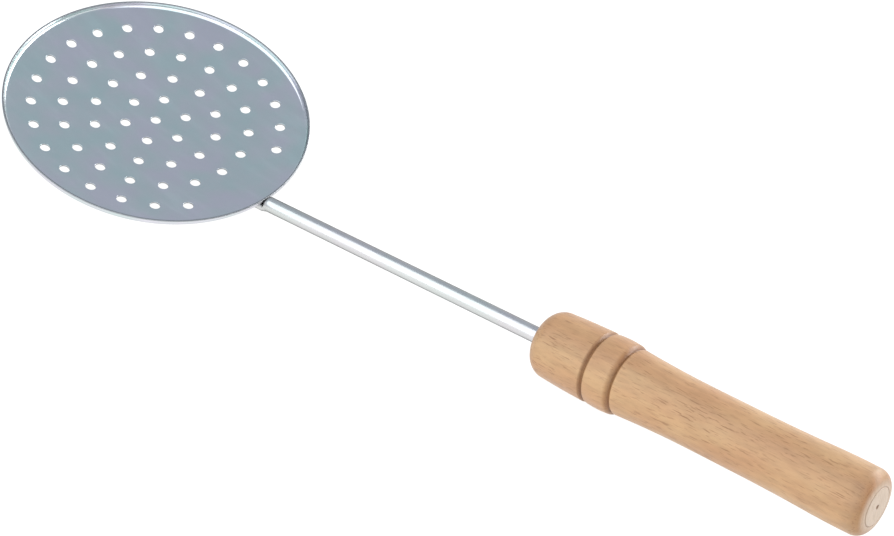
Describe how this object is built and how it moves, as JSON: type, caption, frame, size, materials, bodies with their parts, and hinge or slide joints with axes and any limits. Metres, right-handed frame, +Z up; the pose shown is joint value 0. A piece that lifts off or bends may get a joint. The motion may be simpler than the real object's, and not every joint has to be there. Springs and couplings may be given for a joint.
{
  "type": "long-handled strainer",
  "caption": "Shallow round punched steel strainer pan on a long straight rod with a turned wooden handle.",
  "frame": {"origin": "on the table, under the middle of the bounding box of the strainer as it lies at rest", "axes": "+X from the pan to the butt of the handle, +Z up from the table; the pan's own plane is tilted 13.8 degrees about Y, with its far rim up"},
  "size_m": [0.3866, 0.12, 0.0348],
  "materials": {
    "pan_steel": "bright rolled stainless sheet",
    "rod_steel": "polished drawn bar",
    "weld_steel": "raw weld",
    "beech": "turned beech with a thin satin varnish"
  },
  "bodies": {
    "root": {"strainer_pan": "pan_steel", "shaft_rod": "rod_steel", "spot_welds": "weld_steel", "handle": "beech"}
  },
  "joints": []
}
